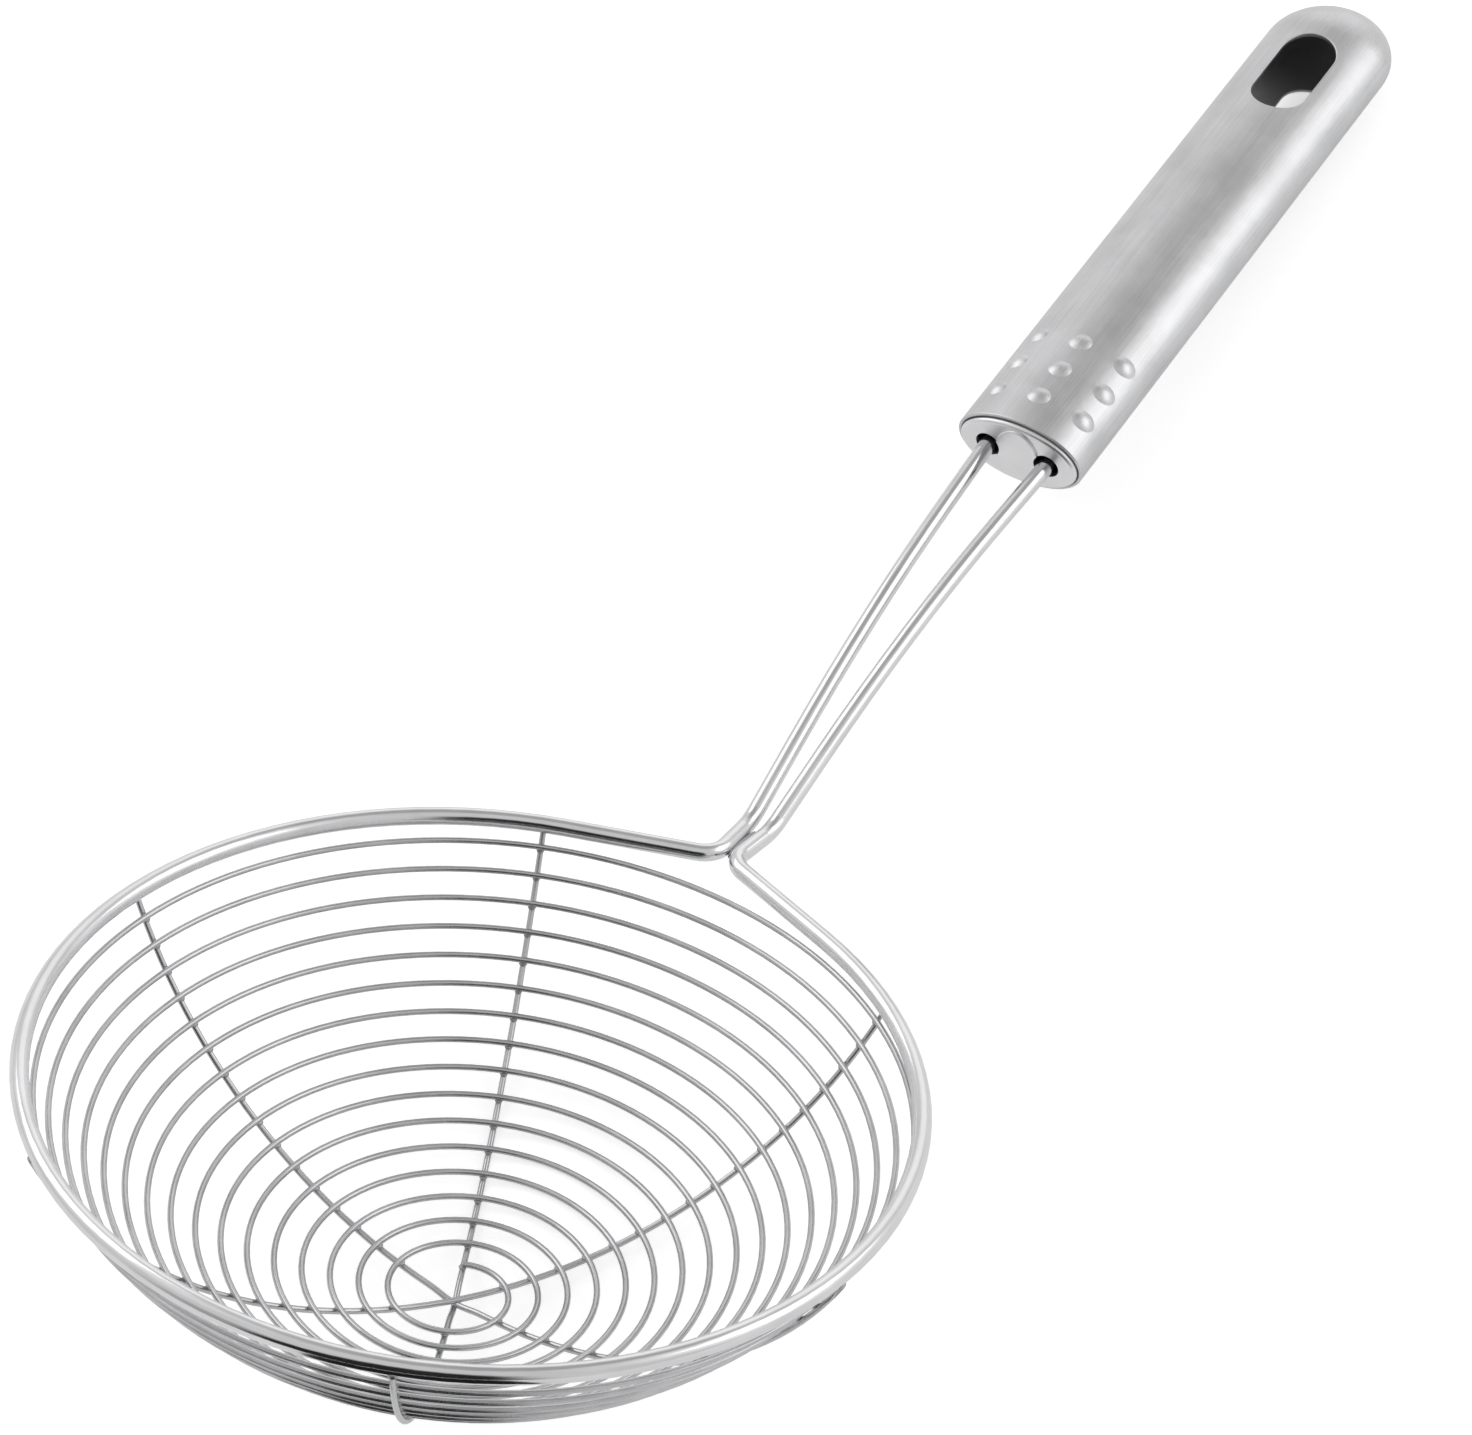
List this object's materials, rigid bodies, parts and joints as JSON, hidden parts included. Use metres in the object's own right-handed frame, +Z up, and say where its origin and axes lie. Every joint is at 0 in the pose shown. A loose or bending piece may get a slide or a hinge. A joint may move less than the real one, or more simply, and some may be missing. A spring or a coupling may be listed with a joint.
{
  "type": "spider skimmer",
  "caption": "Wire spider skimmer: a spiral-wound basket on a bent rod frame, with a hollow oval steel handle that has a hanging slot.",
  "frame": {"origin": "On the table under the middle of the skimmer's outline, as it rests on its basket and the tail of its handle", "axes": "+X along the skimmer towards the tail of the handle, +Y across it, +Z up off the table"},
  "size_m": [0.4072, 0.16, 0.0849],
  "materials": {
    "rod_steel": "polished stainless steel",
    "wire_steel": "bright drawn stainless steel wire",
    "handle_steel": "satin stainless steel",
    "cap_steel": "satin stainless steel",
    "plate_steel": "plain stainless steel"
  },
  "bodies": {
    "root": {"frame_rod": "rod_steel", "spiral_wire": "wire_steel", "rib_wire_1": "wire_steel", "rib_wire_2": "wire_steel", "rib_wire_3": "wire_steel", "handle_tube": "handle_steel", "end_cap": "cap_steel", "anchor_plate": "plate_steel"}
  },
  "joints": []
}
